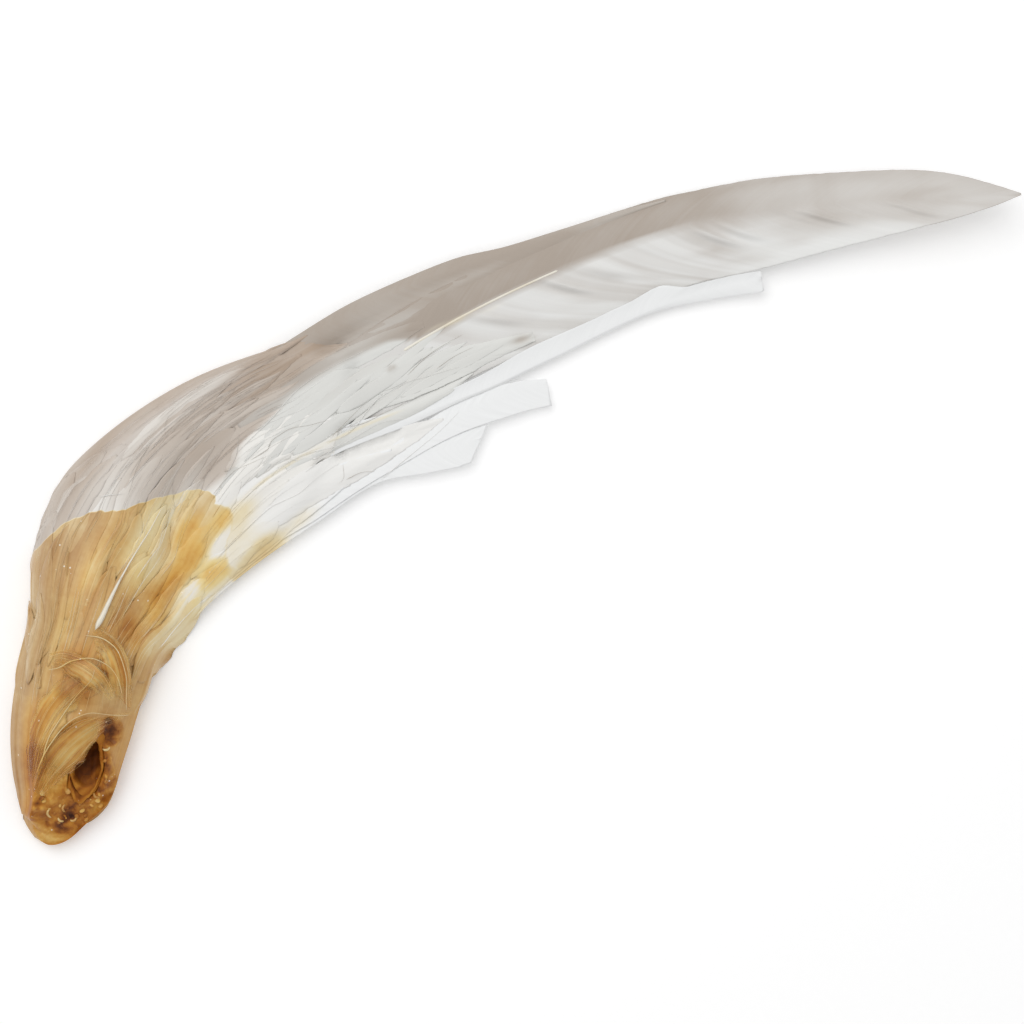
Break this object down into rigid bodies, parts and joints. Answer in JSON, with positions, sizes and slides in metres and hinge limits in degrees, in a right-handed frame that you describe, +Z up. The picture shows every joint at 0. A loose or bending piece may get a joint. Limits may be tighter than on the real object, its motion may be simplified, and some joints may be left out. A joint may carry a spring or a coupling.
{
  "type": "goose wing tip",
  "caption": "Dried goose wing tip cut off at the wrist, lying underwing side up: long overlapping flight feathers with clipped ends, coverts, and amber-stained cut flesh with hollow bone.",
  "frame": {"origin": "on the surface the wing tip lies on, under the cut end, at the middle of the flat underside of the hand there", "axes": "+X along the longest extent, from the cut end to the tip of the longest quill; +Z up, out of the underwing side"},
  "size_m": [0.412, 0.1141, 0.0275],
  "materials": {
    "hide": "dried, greasy, amber",
    "bone": "stained bone",
    "quill": "matt feather vane",
    "covert": "matt soft feather",
    "stained": "matted, stained feather"
  },
  "bodies": {
    "root": {"alula": "covert", "back_covert_1": "covert", "back_covert_2": "covert", "back_covert_3": "covert", "back_covert_4": "covert", "back_covert_5": "covert", "covert_greater_1": "covert", "covert_greater_2": "covert", "covert_greater_3": "covert", "covert_greater_4": "covert", "covert_greater_5": "covert", "covert_greater_6": "covert", "covert_greater_7": "covert", "covert_marginal_1": "covert", "covert_marginal_2": "covert", "covert_marginal_3": "covert", "covert_marginal_4": "covert", "covert_marginal_5": "covert", "covert_median_1": "covert", "covert_median_2": "covert", "covert_median_3": "covert", "cut_bone": "bone", "hand": "hide", "primary_fifth": "quill", "primary_fourth": "quill", "primary_main": "quill", "primary_outer": "quill", "primary_seventh": "quill", "primary_sixth": "quill", "primary_third": "quill", "tuft_arch": "stained", "tuft_fan": "stained", "tuft_leaf": "stained", "tuft_rib": "stained"}
  },
  "joints": []
}
